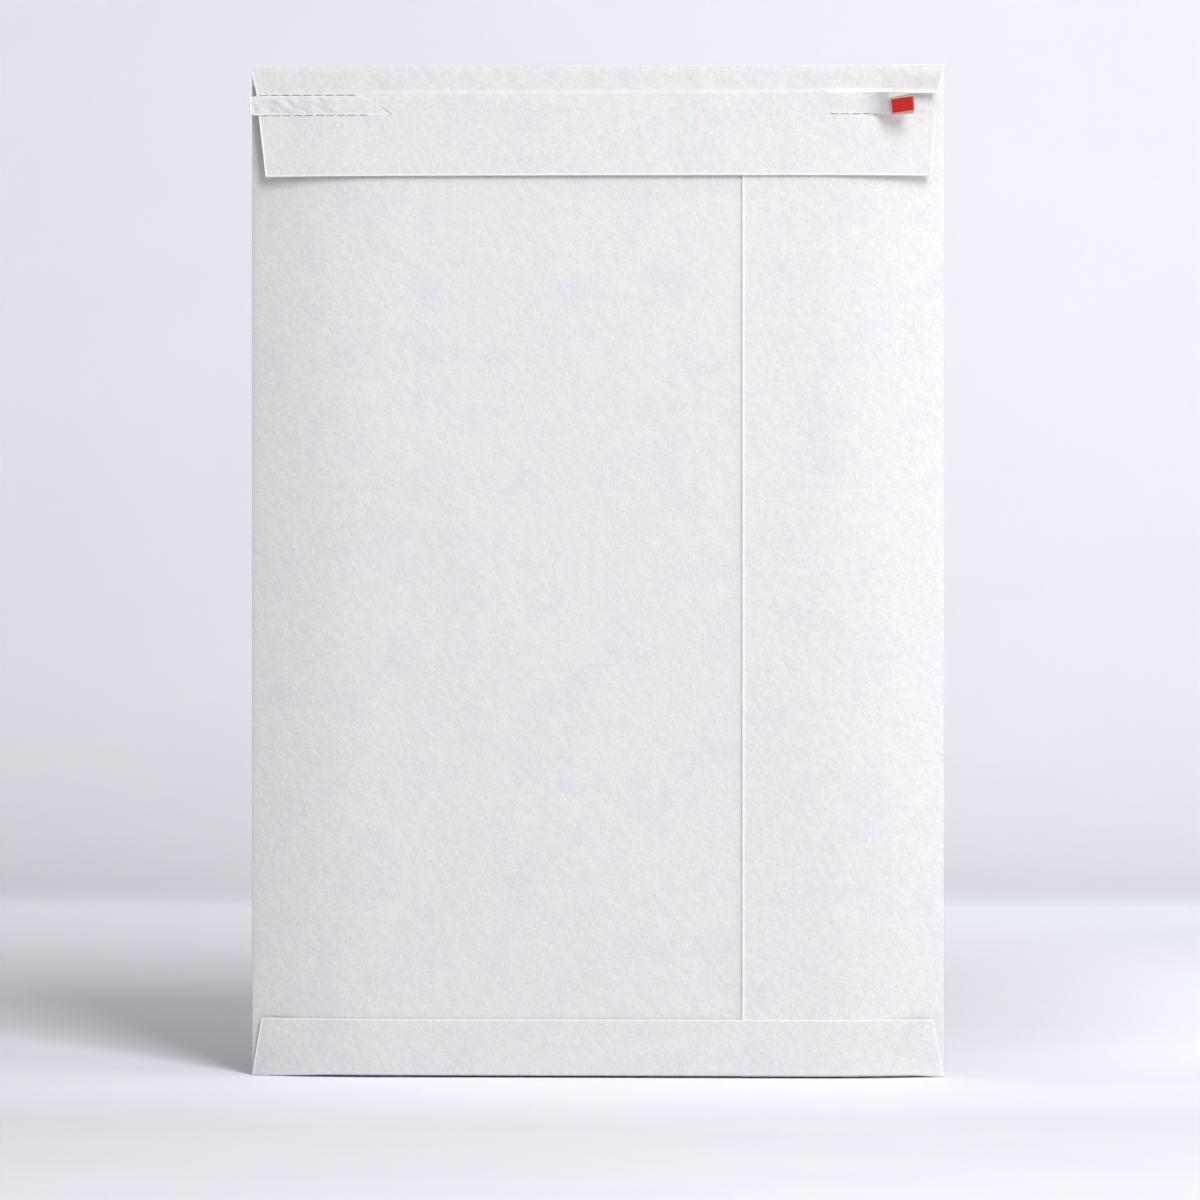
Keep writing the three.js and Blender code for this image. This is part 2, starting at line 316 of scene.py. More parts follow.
def add_sockets(tree, way, *sockets):
    for name, kind, *value in sockets:
        socket = tree.interface.new_socket(name, in_out=way, socket_type="NodeSocket" + kind)
        if value:
            socket.default_value = value[0]


def lay_out(tree):
    """Set each node one column left of those that it feeds, so that the tree reads as a chart."""
    columns = dict.fromkeys(tree.nodes.keys(), 0)
    for _ in tree.nodes:
        for wire in tree.links:
            source, target = wire.from_node.name, wire.to_node.name
            columns[source] = max(columns[source], columns[target] + 1)
    filled = Counter()
    for node in tree.nodes:
        column = columns[node.name]
        node.location = (-220 * column, -260 * filled[column])
        filled[column] += 1

# %% Fibre grain, shared by every finish
FIBRE_SLANT = math.radians(48)
FIBRE_STRETCH = 2.1  # fibres are this much longer than wide
LAID_SCALE = 480.0
LAID_SHARE = 0.35  # of the slanting fibres in the mottle, the rest is fine grain
STREAK_WIDTH = 0.02
STREAK_BREAKS = 0.52  # a streak shows only where the fibres lie higher than this
STREAK_HEIGHT = 0.3
FLECK_SCALE = 190.0
FLECK_SIZE = 0.026
FLECK_RARITY = 0.8


def make_fibre_grain():
    group = bpy.data.node_groups.new("fibre_grain", "ShaderNodeTree")
    results = ("Height", "Streaks", "Clouds", "Other Clouds", "Flecks")
    add_sockets(group, "INPUT", ("Vector", "Vector"), ("Grain Scale", "Float", 1000.0))
    add_sockets(group, "INPUT", ("Streak Scale", "Float", 230.0), ("Cloud Scale", "Float", 58.0))
    add_sockets(group, "OUTPUT", *[(name, "Float") for name in results])
    given = add_node(group, "NodeGroupInput")
    vector = given["Vector"]
    calc = partial(maths, group)

    fine = noise_node(group, vector, Scale=given["Grain Scale"], Detail=4.0, Roughness=0.65)[0]
    turned = {"Vector": vector, "Rotation": (0, FIBRE_SLANT, 0), "Scale": (FIBRE_STRETCH, 1.0, 1.0)}
    slanted = add_node(group, "ShaderNodeMapping", turned, vector_type="TEXTURE")[0]
    laid = noise_node(group, slanted, Scale=LAID_SCALE, Detail=3.0, Roughness=0.62)[0]
    streak = noise_node(
        group, slanted, Scale=given["Streak Scale"], Detail=2.0, Roughness=0.55, Distortion=0.3)[0]
    ridge = calc("SUBTRACT", STREAK_WIDTH, calc("ABSOLUTE", calc("SUBTRACT", streak, 0.5)))
    line = calc("MULTIPLY", calc("MAXIMUM", ridge, 0.0), 1 / STREAK_WIDTH, clamp=True)
    broken = calc("MULTIPLY", calc("SUBTRACT", laid, STREAK_BREAKS), 9.0, clamp=True)
    streaks = calc("MULTIPLY", line, broken)

    clouds = noise_node(group, vector, Scale=given["Cloud Scale"], Detail=3.0, Roughness=0.5)
    tones = add_node(group, "ShaderNodeSeparateColor", [clouds["Color"]])
    cells = add_node(group, "ShaderNodeTexVoronoi", {"Vector": vector, "Scale": FLECK_SCALE})
    chance = add_node(group, "ShaderNodeSeparateColor", [cells["Color"]])[0]
    near = calc("LESS_THAN", cells["Distance"], FLECK_SIZE)
    flecks = calc("MULTIPLY", near, calc("GREATER_THAN", chance, FLECK_RARITY))

    mottle = calc("ADD", calc("MULTIPLY", fine, 1 - LAID_SHARE), calc("MULTIPLY", laid, LAID_SHARE))
    relief = calc("ADD", mottle, calc("MULTIPLY", streaks, STREAK_HEIGHT))
    put_out = dict(zip(results, (relief, streaks, tones[0], tones[1], flecks)))
    add_node(group, "NodeGroupOutput", put_out)
    lay_out(group)
    return group


fibre_grain = make_fibre_grain()
print("shared group:", fibre_grain.name, "with", len(fibre_grain.nodes), "nodes")


# %% Start and end of a finish: its grain and bump, then its colours
def start_finish(name, roughness, bump_depth, **grain):
    material = bpy.data.materials.new(name)
    material.use_nodes = True
    tree = material.node_tree
    place = add_node(tree, "ShaderNodeTexCoord")["Object"]
    scales = {key.replace("_", " "): value for key, value in grain.items()}
    fibres = add_node(tree, "ShaderNodeGroup", {"Vector": place, **scales}, node_tree=fibre_grain)
    bump = {"Strength": 1.0, "Distance": bump_depth, "Height": fibres["Height"]}
    normal = add_node(tree, "ShaderNodeBump", bump)["Normal"]
    feed(tree.nodes["Principled BSDF"], {"Roughness": roughness, "Normal": normal})
    return material, place, fibres


def end_finish(material, inputs):
    feed(material.node_tree.nodes["Principled BSDF"], inputs)
    lay_out(material.node_tree)
    return material


def srgb(red, green, blue):
    def linear(value):
        value /= 255
        return value / 12.92 if value <= 0.04045 else ((value + 0.055) / 1.055) ** 2.4

    return linear(red), linear(green), linear(blue), 1.0

# %% [markdown]
# ### Envelope paper
# Uncoated white wove: cool white outside, with faint bluish and greenish clouds, and
# creamy inside, where a folded-back end of the strip shows it; that cream is partly its
# own colour and partly painted shade, darkened to its look in the shade of the folded end.
# Each sheet carries two face attributes, so one material paints all of it: one marks the
# inner face, and the other the cut or creased stretches and rims, which are painted
# whiter: partly for the loose fibres there, partly as a painted highlight.

# %% Envelope paper
OUTSIDE_WHITE = srgb(241, 239, 240)
OUTSIDE_SHADE = srgb(231, 230, 232)
LAVENDER_TINT = (0.978, 0.974, 1.0, 1.0)
GREEN_TINT = (0.966, 0.993, 0.98, 1.0)
CLOUDS = (("Clouds", 0.53, 0.66, LAVENDER_TINT), ("Other Clouds", 0.54, 0.68, GREEN_TINT))
# the paper's cream inside, painted darker to its look in the shade on the folded-back end: partly its
# own colour, partly painted shade
INSIDE_CREAM_SHADED = srgb(192, 181, 158)
INSIDE_CREAM_DARK_SHADED = srgb(180, 169, 145)
FLECK = srgb(150, 152, 166)
# white of cut, torn and creased paper and of rims: partly loose fibres, partly a painted highlight
EDGE_WHITE_AND_HIGHLIGHT = srgb(250, 250, 252)
PAPER_BUMP = 0.17 * MM
PAPER_ROUGHNESS = (0.78, 0.9)  # between the streaks, and on them


def make_envelope_paper():
    material, _, fibres = start_finish("wove_paper", PAPER_ROUGHNESS[0], PAPER_BUMP)
    tree = material.node_tree
    low_spots = ramp(tree, fibres["Height"], 0.6, 0.4)
    outside = blend_colour(tree, low_spots, OUTSIDE_WHITE, OUTSIDE_SHADE)
    for output, start, end, tint in CLOUDS:
        tinted = blend_colour(tree, 1.0, outside, tint, "MULTIPLY")
        outside = blend_colour(tree, ramp(tree, fibres[output], start, end), outside, tinted)
    outside = blend_colour(tree, fibres["Flecks"], outside, FLECK)
    # painted highlight, partly whiter fibres: the marked faces turn nearly white
    edge = add_node(tree, "ShaderNodeAttribute", attribute_name="edge_white_and_highlight")["Fac"]
    outside = blend_colour(tree, edge, outside, EDGE_WHITE_AND_HIGHLIGHT)
    inner = blend_colour(tree, low_spots, INSIDE_CREAM_SHADED, INSIDE_CREAM_DARK_SHADED)
    which = add_node(tree, "ShaderNodeAttribute", attribute_name="inside")["Fac"]
    roughness = ramp(tree, fibres["Streaks"], 0.0, 1.0, *PAPER_ROUGHNESS)
    return end_finish(
        material, {"Base Color": blend_colour(tree, which, outside, inner), "Roughness": roughness})


finishes["envelope_paper"] = make_envelope_paper()

# %% [markdown]
# ### Tear tape, glue, adhesive and liner
# The tape is a satin film with faint threads along it, which keep the tear straight. The
# two glue lines have dried uneven, the sealing adhesive is soft and a little glossy, and
# the liner that guards it is a thin coated paper, smoother than the envelope.

# %% Tear tape
TAPE_RED = srgb(207, 24, 26)
TAPE_RED_DEEP = srgb(195, 19, 23)
THREAD_STRETCH = (0.04, 0.04, 1.0)


def make_tear_tape():
    material, place, _ = start_finish("red_film", 0.42, 0.01 * MM)
    tree = material.node_tree
    along = add_node(tree, "ShaderNodeMapping", {"Vector": place, "Scale": THREAD_STRETCH})[0]
    threads = noise_node(tree, along, Scale=1700.0, Detail=2.0)[0]
    colour = blend_colour(tree, ramp(tree, threads, 0.4, 0.65), TAPE_RED, TAPE_RED_DEEP)
    return end_finish(material, {"Base Color": colour})


finishes["tear_tape"] = make_tear_tape()


# %% Glue, adhesive and liner
def make_plain_film(name, light, dark, roughness, bump_depth, **grain):
    material, _, fibres = start_finish(name, roughness, bump_depth, **grain)
    colour = blend_colour(material.node_tree, fibres["Clouds"], srgb(*light), srgb(*dark))
    return end_finish(material, {"Base Color": colour})


finishes["dried_glue"] = make_plain_film(
    "glue_film", (236, 229, 206), (214, 203, 172), 0.45, 0.06 * MM, Grain_Scale=350.0, Cloud_Scale=160.0)
finishes["seal_adhesive"] = make_plain_film(
    "tacky_film", (238, 234, 216), (222, 216, 192), 0.25, 0.02 * MM, Grain_Scale=250.0, Cloud_Scale=90.0)
finishes["release_liner"] = make_plain_film(
    "coated_liner", (231, 235, 231), (221, 227, 224), 0.35, 0.01 * MM, Grain_Scale=1400.0)
print("finishes:", {slot: material.name for slot, material in finishes.items()})

# %% [markdown]
# ## The pocket
# An empty pocket that has been eased open stands in a shallow D: the address side stays
# flat, and the back bows out between its two side creases. Real paper never lies dead
# flat, so the back also carries a slow, shallow relief. All the layers of the back share
# it, which keeps them from cutting through each other, and it fades out where flaps and
# glue lie close.

# %% Relief and ease of the back
BACK_RELIEF = 0.16  # depth of the slow waves
BACK_DIMPLES = 0.05  # and of the smaller dents on them


def noise_field(x, z, size, seed, stretch=1.0, slant=0.0):
    x, z = np.broadcast_arrays(np.asarray(x, float), np.asarray(z, float))
    c, s = math.cos(math.radians(slant)), math.sin(math.radians(slant))
    along = (x * c + z * s) / (size * stretch)
    across = (z * c - x * s) / size
    values = [noise.noise(Vector((a, b, seed))) for a, b in zip(along.ravel(), across.ravel())]
    return np.reshape(values, x.shape)


def back_relief(x, z):
    from_sides = smooth_step(half_width, half_width - 14, abs(x))
    from_flaps = smooth_step(24, 44, z) * smooth_step(flap_edge - 4, flap_edge - 22, z)
    waves = BACK_RELIEF * noise_field(x, z, 62, 3.7, 1.6, 62)
    dents = BACK_DIMPLES * noise_field(x, z, 13, 9.1, 2.4, -50)
    return from_sides * from_flaps * (waves + dents)


def eased(x, crease_face, full_face, crease_x):
    flat = half_width - SIDE_EASE
    run = np.clip((abs(x) - flat) / (crease_x - flat), 0, 1)
    return crease_face + (full_face - crease_face) * (1 - run * run)

# %% [markdown]
# ### Back panels
# Each back panel is drawn in plan: a little paper on the address side, a half turn round
# the side crease, then the eased back to its free edge. The right panel lies over the
# left one, and its free edge curls up a hair, which gives the seam its bright line.

# %% Back panels
crease_radius = (front_face - high("left_back_panel", Y) + paper) / 2
crease_x = half_width - crease_radius
CREASE_END = 247.0  # degrees, where the half turn meets the slope of the eased back
SEAM_CURL = 0.14
SEAM_CURL_REACH = 0.9
EAR = 2.7  # the side creases run on above the mouth, up to the top fold


def side_crease():
    turn = arc((-crease_x, front_face - crease_radius), crease_radius, 90, CREASE_END, 14)
    start = -half_width + SIDE_TURN
    return [(start, front_face), (start - SIDE_TURN / 2, front_face), *turn]


def plan_of_back(full_face, free_x):
    turn = side_crease()
    start_x, start_face = turn[-1]
    bow = stations(start_x, free_x, 2.0, free_x - 0.4, free_x - 0.8, free_x - 1.3)[1:]
    return np.array(turn + [(x, eased(x, start_face, full_face, abs(start_x))) for x in bow])


def back_panel(side_name, full_face, free_x, mirrored=False):
    plan = plan_of_back(full_face, free_x)
    rows = stations(CREASE, panel_top, 2.2)
    x, z = np.meshgrid(plan[:, 0], rows)
    y = np.tile(plan[:, 1], (len(rows), 1))
    ear = EAR * smooth_step(half_width - 3.5, half_width - 0.8, abs(x))
    z = z + ear * smooth_step(panel_top - 12, panel_top, z)
    side = -1 if mirrored else 1
    on_back = plan[:, 1] < front_face - crease_radius
    y = y - on_back * back_relief(side * x, z)
    if mirrored:
        y = y - SEAM_CURL * np.exp(-(free_x - x) / SEAM_CURL_REACH) * on_back
        x, y, z = -x[:, ::-1], y[:, ::-1], z[:, ::-1]
    grid = np.stack([x, y, z], axis=2)
    soft = ("left", "top") if mirrored else ("right", "top")
    return sheet(side_name + "_back_sheet", side_name + "_back_panel", grid, "pocket", soft=soft)


back_panel("left", left_back_face, left_free_edge)
back_panel("right", right_back_face, -seam_edge, mirrored=True)

# %% [markdown]
# ### Address side and seam glue
# The address side is the plain face. It fills the flat between the two side creases, and
# its top edge stops where the mouth's fold begins.

# %% Address side and seam glue
address_x = stations(half_width - SIDE_TURN, -half_width + SIDE_TURN, 2.4)
address_z = stations(CREASE, panel_top, 2.4)
seam_glue_face = low("side_seam_glue", Y)
sheet(
    "address_side_sheet", "front_panel",
    upright_grid(address_x, address_z, lambda x, z: np.full_like(x, front_face)), "pocket", soft=())
film(
    "side_seam_glue_line", "side_seam_glue", lambda x, z: seam_glue_face - back_relief(x, z),
    "pocket", "dried_glue", (1.5, 3.0))

# %% [markdown]
# ### Bottom fold and bottom flap
# At the foot the blank turns under, runs back, turns up again and is glued over the back.
# Both turns are drawn as quarter rounds, so the envelope stands on paper with soft edges.
# Towards the flap side the base arches up a little between its corners, which opens the
# thin line of shadow under it, and the flap bulges just above its lower turn.

# %% Bottom fold
BOTTOM_JOIN = 1.6  # the flap's paper starts this far in under the envelope
BOTTOM_STAND = 1.3  # its sloping sides stand off the back by this much
BASE_ARCH = 0.85  # the flap side of the base stands up by this much between its corners
ARCH_LEFT, ARCH_RIGHT = 34, 12  # and is at its full height this far from them
BASE_BULGE = 0.16


def base_arch(x):
    left = smooth_step(-half_width, ARCH_LEFT - half_width, x)
    return BASE_ARCH * left * smooth_step(half_width, half_width - ARCH_RIGHT, x)


def bottom_face(x):
    return eased(x, high("bottom_flap", Y) - paper, bottom_flap_face, half_width)


def base_join(x):
    """Where the fold's sheet ends and the flap's begins, under the envelope."""
    return bottom_face(x) + np.minimum(BOTTOM_JOIN, (front_face - bottom_face(x)) / 2)


def bottom_fold_grid():
    columns = stations(-half_width, half_width, 1.6)
    start = front_face - CREASE
    turn = swept(arc((start, CREASE), CREASE, 0, -90), columns)
    x, share = np.meshgrid(columns, np.linspace(0, 1, 7)[1:])
    run = np.stack([x, start + (base_join(x) - start) * share, base_arch(x) * share], axis=2)
    return np.vstack([turn, run])


sheet("bottom_fold_sheet", "bottom_fold", bottom_fold_grid(), "pocket", soft=("left", "right"))


# %% Bottom flap
def bottom_flap_grid():
    columns = stations(-half_width, half_width, 1.2, *near_sides)
    steps = [(share, 270) for share in (0, 1 / 3, 2 / 3)]
    steps += [(1, angle) for angle in np.linspace(270, 180, 9)]
    share, angle = np.array(steps).T[:, :, None]
    start, near = base_join(columns), bottom_face(columns) + CREASE - BASE_BULGE
    y = start + (near - start) * share + CREASE * np.cos(np.radians(angle))
    z = base_arch(columns) + CREASE + CREASE * np.sin(np.radians(angle))
    turn = np.stack([columns + 0 * y, y, z], axis=2)

    near_top = bottom_flap_top - np.array(NEAR_EDGE)
    flat_x, z = np.meshgrid(columns, stations(CREASE, bottom_flap_top, 0.9, *near_top)[1:])
    x = flat_x * (1 - bottom_flap_taper / half_width * z / bottom_flap_top)
    stand = BOTTOM_STAND * smooth_step(22, 0, half_width - abs(flat_x)) * smooth_step(1, 15, z)
    curl = side_curl(flat_x, half_width) - lit_edge(bottom_flap_top - z, 2.0 * EDGE_CURL, EDGE_REACH)
    y = bottom_face(x) - stand - curl - lit_edge(z - CREASE, BASE_BULGE, 1.3)
    up = np.stack([x, y, z + base_arch(flat_x) * smooth_step(5, CREASE, z)], axis=2)
    return np.vstack([turn, up])


sheet(
    "bottom_flap_sheet", "bottom_flap", bottom_flap_grid(), "pocket", soft=("left", "right", "top"))

# %% Glue of the bottom flap
GLUE_FILM = 0.12
GLUE_SHORT = 2.0  # it stops this far short of the construction model's glue line at each end
glue_half = high("bottom_flap_glue", X) - GLUE_SHORT
glue_x = stations(-glue_half, glue_half, 2.0)
glue_z = stations(low("bottom_flap_glue", Z), high("bottom_flap_glue", Z), 1.5)
sheet(
    "bottom_flap_glue_line", "bottom_flap_glue",
    upright_grid(glue_x, glue_z, lambda x, z: bottom_face(x) + paper),
    "pocket", "dried_glue", GLUE_FILM, rim=FILM_RIM)

# %% [markdown]
# ## The flap
# The tear tape lies behind the flap and lifts the paper in a low step, seen as a bright
# ridge along the strip's upper edge. Below it the paper eases back, and the free edge
# stands off a little. Above it the band is crumpled and bulges below the top crease. The
# pull on the right tab has raised a torn lip. Strip, bands and tabs all read this one
# surface, so they meet without a gap wherever the paper is still whole.

# %% Surface of the flap
root_corners = corners_of("left_tab")
root_top = root_corners[root_corners[:, Z] > high("left_tab", Z) - 0.01, X].max()
root_low = high("left_tab", X)
EMBOSS = 0.42  # height of the step over the tape
EMBOSS_FROM = (-84, -70)  # it rises over this stretch, to the right of the left tab's root
EMBOSS_TOP = strip_top + 1.1
EMBOSS_FULL = strip_top + 0.2
EASE_BACK = 18.0  # the step has eased away this far below the strip
FLARE = 0.5
FLARE_FROM = 20.0  # height above the free edge where it starts to stand off
SIDE_BEND = 1.7  # the flap's sides follow the eased back by this much
SIDE_BEND_FROM = (84, 119)
TAB_INSET = 0.65  # the left tab's upper edge lies this far below the strip's
TORN_LIP = 0.75
TORN_FROM, TORN_TO = (72, 86), (112, 98)  # where the lip rises, and ends again
TORN_SINK = 1.8  # the band's free corner right of the tab falls back by this much
TORN_SINK_FROM = (99, 117)
CRUMPLE = 0.22
BAND_BULGE = 0.42  # the upper band stands out below the top crease
BAND_SINK = 0.26  # and leans in from there towards the ridge
SLOW_WAVES = 0.06  # height of the slow waves all over the flap
bulge_top = height - 2.4


def emboss(x, z):
    strength = EMBOSS * smooth_step(*EMBOSS_FROM, x) * (0.9 + 0.25 * noise_field(x, x * 0, 23, 5.2))
    wander = 0.15 * noise_field(x, x * 0, 17, 8.4)
    step = smooth_step(EMBOSS_TOP + wander, EMBOSS_FULL + wander, z)
    away = smooth_step(strip_bottom - EASE_BACK, strip_top - 2, z)
    return strength * step * away


def crumples(x, z):
    band = smooth_step(strip_top - 4, strip_top + 2, z) * smooth_step(height - 0.9, height - 3, z)
    dents = noise_field(x, z, 4.5, 2.6, 2.2, -45) + 0.6 * noise_field(x, z, 2.2, 6.9, 2.5, 40)
    return CRUMPLE * band * dents


def torn_along(x):
    return smooth_step(*TORN_FROM, x) * smooth_step(*TORN_TO, x)


def torn_lip(x, z):
    """The pull on the tab has raised the paper on both sides of the torn edge."""
    above = np.clip(1 - (z - strip_top) / 2.3, 0, 1) ** 2
    below = smooth_step(strip_bottom, strip_top, z)
    uneven = 0.9 + 0.3 * noise_field(x, x * 0, 5, 4.4)
    return TORN_LIP * torn_along(x) * uneven * np.where(z > strip_top, above, below)


def flap_surface(x, z):
    flare = FLARE * lit_edge(z - flap_edge, 1.0, FLARE_FROM)
    bulge = BAND_BULGE * smooth_step(height - 0.6, bulge_top, z)
    lean = (BAND_BULGE + BAND_SINK) * np.clip((bulge_top - z) / (bulge_top - 0.2 - EMBOSS_TOP), 0, 1)
    band = (bulge - lean) * smooth_step(strip_top - 0.3, EMBOSS_TOP + 0.1, z)
    slow = SLOW_WAVES * noise_field(x, z, 30, 1.3) * smooth_step(height - 1, height - 8, z)
    raised = emboss(x, z) + torn_lip(x, z) + flare + band + slow + crumples(x, z)
    return flap_face + side_bend(x, z) - raised


def side_bend(x, z):
    return SIDE_BEND * smooth_step(*SIDE_BEND_FROM, abs(x)) * smooth_step(height - 1, height - 22, z)


def flap_half_width(z):
    heights = (flap_edge, strip_top, height)
    return np.interp(z, heights, (flap_half_edge, flap_half_strip, half_width))

# %% Rear half of the top fold
fold_middle = (front_face + flap_face) / 2


def rear_fold_grid():
    path = [(front_face, z) for z in stations(panel_top, height - TOP_CREASE, 0.8)[:-1]]
    path += arc((front_face - TOP_CREASE, height - TOP_CREASE), TOP_CREASE, 0, 90)
    path += [(y, height) for y in np.linspace(front_face - TOP_CREASE, fold_middle, 6)[1:]]
    return swept(path, stations(half_width, -half_width, 1.6))


rear_fold = sheet("top_fold_rear_sheet", "top_fold", rear_fold_grid(), soft=("left", "right"))
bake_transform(rear_fold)


# %% Front half of the top fold and the band above the tear strip
def upper_band_grid():
    columns = stations(-1, 1, 0.7 / half_width, *near_sides / half_width)
    across, z = np.meshgrid(columns, stations(strip_top, height - TOP_CREASE, 0.35))
    half = flap_half_width(z)
    x = across * half
    curl = side_curl(x, half) * smooth_step(height - 1.2, height - 3, z)
    y = flap_surface(x, z) + torn_sink(x, z) - curl
    up = np.stack([x, y, z - tab_inset(x) * smooth_step(strip_top + 1.6, strip_top, z)], axis=2)
    start = flap_face + TOP_CREASE
    path = arc((start, height - TOP_CREASE), TOP_CREASE, 180, 90)[1:]
    path += [(y, height) for y in np.linspace(start, fold_middle, 6)[1:]]
    return np.vstack([up, swept(path, columns * half_width)])


def tab_inset(x):
    return TAB_INSET * smooth_step(root_top + 7, root_top, x)


def torn_sink(x, z):
    return TORN_SINK * smooth_step(*TORN_SINK_FROM, x) * smooth_step(strip_top + 7, strip_top, z)


# painted highlight on the ridge over the tape; at the torn lip and the top crease, partly whiter worn
# fibres and partly painted highlight
RIDGE_HIGHLIGHT = 0.42  # how much whiter the ridge over the tape is
RIDGE_HIGHLIGHT_FROM = (-84, -60)
TORN_WHITE_AND_HIGHLIGHT_TO = (106, 99)  # the torn stretch is white up to here
CREASE_WHITE_AND_HIGHLIGHT = 0.8


def band_wear_and_highlight(x, z):
    """Whiter paper, 0 to 1: a painted highlight on the ridge over the tape, and where the band was
    creased and where it tore, whiter worn fibres together with a painted highlight.
    """
    uneven = 0.8 + 0.6 * noise_field(np.array([x]), np.array([0.0]), 6, 3.7)[0]
    ridge = smooth_step(strip_top + 1.9, strip_top + 0.6, z) * smooth_step(*RIDGE_HIGHLIGHT_FROM, x)
    torn = smooth_step(strip_top + 2.1, strip_top + 1.0, z) * torn_along(x)
    torn = torn * smooth_step(*TORN_WHITE_AND_HIGHLIGHT_TO, x)
    crease = CREASE_WHITE_AND_HIGHLIGHT * smooth_step(height - 0.8, height - 0.5, z) * uneven
    return float(np.clip(max(RIDGE_HIGHLIGHT * ridge * uneven, torn, crease), 0, 1))


upper_band = sheet(
    "flap_upper_band_sheet", "flap_upper_band", upper_band_grid(),
    soft=("left", "right"), wear_and_highlight=band_wear_and_highlight)

# %% [markdown]
# ### Perforations
# The flap is perforated along both edges of each pull tab: short slits with ties of paper
# between them, in the bands next to the tab. That is one slit repeated at a pitch, so it
# is a Geometry Nodes tree: a row of slim boxes, each turned a trace at random from a fixed
# seed, cut out of the band.


# %% The perforation tree
def make_perforation_tree():
    tree = bpy.data.node_groups.new("perforation", "GeometryNodeTree")
    add_sockets(
        tree, "INPUT", ("Sheet", "Geometry"), ("Row Start", "Vector"),
        ("Row Step", "Vector", (0.0038, 0, 0)), ("Slits", "Int", 9),
        ("Slit Size", "Vector", (0.0028, 0.006, 0.0002)), ("Slit Turn", "Float", 0.03),
        ("Seed", "Int", 7), ("Paper", "Material"))
    add_sockets(tree, "OUTPUT", ("Sheet", "Geometry"))
    given = add_node(tree, "NodeGroupInput")
    row = add_node(
        tree, "GeometryNodeMeshLine",
        {"Count": given["Slits"], "Start Location": given["Row Start"], "Offset": given["Row Step"]},
        mode="OFFSET")
    box = add_node(tree, "GeometryNodeMeshCube", {"Size": given["Slit Size"]})
    most = add_node(tree, "ShaderNodeCombineXYZ", {"Y": given["Slit Turn"]})[0]
    least = add_node(tree, "ShaderNodeVectorMath", {"Vector": most, "Scale": -1.0}, operation="SCALE")[0]
    turn = add_node(
        tree, "FunctionNodeRandomValue", {"Min": least, "Max": most, "Seed": given["Seed"]},
        data_type="FLOAT_VECTOR")
    placed = add_node(
        tree, "GeometryNodeInstanceOnPoints",
        {"Points": row[0], "Instance": box["Mesh"], "Rotation": turn["Value"]})
    slits = add_node(tree, "GeometryNodeRealizeInstances", {"Geometry": placed[0]})[0]
    cut = add_node(
        tree, "GeometryNodeMeshBoolean", {"Mesh 1": given["Sheet"], "Mesh 2": slits},
        operation="DIFFERENCE", solver="EXACT")
    whole = add_node(tree, "GeometryNodeRealizeInstances", {"Geometry": cut["Mesh"]})[0]
    coloured = add_node(
        tree, "GeometryNodeSetMaterial", {"Geometry": whole, "Material": given["Paper"]})
    add_node(tree, "NodeGroupOutput", {"Sheet": coloured[0]})
    lay_out(tree)
    return tree


perforation = make_perforation_tree()

# %% Cutting a row of slits into a sheet
PITCH = 3.8
TIE = 0.95  # paper left between two slits
SLIT_HEIGHT = 0.22
SLIT_DEPTH = 6.0  # well through the sheet
SLIT_TURN = 0.03
SLIT_OFF = 0.3  # a row lies this far inside its band
LEFT_SLITS = (9, 10)  # above and below the left tab
LEFT_ROWS_END = (flap_half_strip - 0.9, flap_half_strip - 1.3)
RIGHT_SLITS = 5  # below the right one, whose torn end has none left
RIGHT_ROW_END = 98.5


def perforate(piece, z, slits, side, seed, end):
    slit = PITCH - TIE
    start = side * (end - slit / 2)
    values = {
        "Row Start": (start * MM, flap_face * MM, z * MM), "Row Step": (-side * PITCH * MM, 0, 0),
        "Slits": slits, "Slit Size": (slit * MM, SLIT_DEPTH * MM, SLIT_HEIGHT * MM),
        "Slit Turn": SLIT_TURN, "Seed": seed, "Paper": finishes["envelope_paper"],
    }
    modifier = piece.modifiers.new("perforation", "NODES")
    modifier.node_group = perforation
    for item in perforation.interface.items_tree:
        if item.in_out == "INPUT" and item.name in values:
            modifier[item.identifier] = values[item.name]
    ready = bpy.context.evaluated_depsgraph_get()
    cut = bpy.data.meshes.new_from_object(
        piece.evaluated_get(ready), preserve_all_data_layers=True, depsgraph=ready)
    piece.modifiers.remove(modifier)
    print(f"{piece.name}: {slits} slits, {len(piece.data.vertices)} to {len(cut.vertices)} points")
    cut.name = piece.data.name
    piece.data = cut


perforate(upper_band, strip_top - TAB_INSET + SLIT_OFF, LEFT_SLITS[0], -1, 11, LEFT_ROWS_END[0])
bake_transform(upper_band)

# %% [markdown]
# ### Lower band
# The band below the strip is the part of the flap that is glued down in use. Its free
# edge catches the light and throws the soft shadow on the back. It curls least at the
# left, where the band has also been cut a little short.

# %% Lower band
EDGE_WAVE = 0.25
BOTTOM_CURL = EDGE_CURL  # of the free edge at the right, and half of it at the left
BOTTOM_REACH = 0.5
BOTTOM_CURL_FROM = (-100, 40)  # it grows from the half to the whole over this stretch
CORNER_IN = 0.9  # the left corner is cut in by this much


def lower_band_grid():
    across, share = np.meshgrid(
        stations(-1, 1, 0.8 / half_width, *near_sides / half_width),
        stations(0, 1, 1 / 42, 0.01, 0.02, 0.032, 0.98))
    edge = flap_edge + EDGE_WAVE * (1 - across ** 2)
    z = edge + (strip_bottom - edge) * share
    half = flap_half_width(z)
    x = across * half
    strength = BOTTOM_CURL * (0.5 + 0.5 * smooth_step(*BOTTOM_CURL_FROM, x))
    curl = side_curl(x, half) + lit_edge(z - edge, strength, BOTTOM_REACH)
    x = x + CORNER_IN * np.clip(-across, 0, 1) ** 2 * (1 - share)
    return np.stack([x, flap_surface(x, z) - curl, z], axis=2)


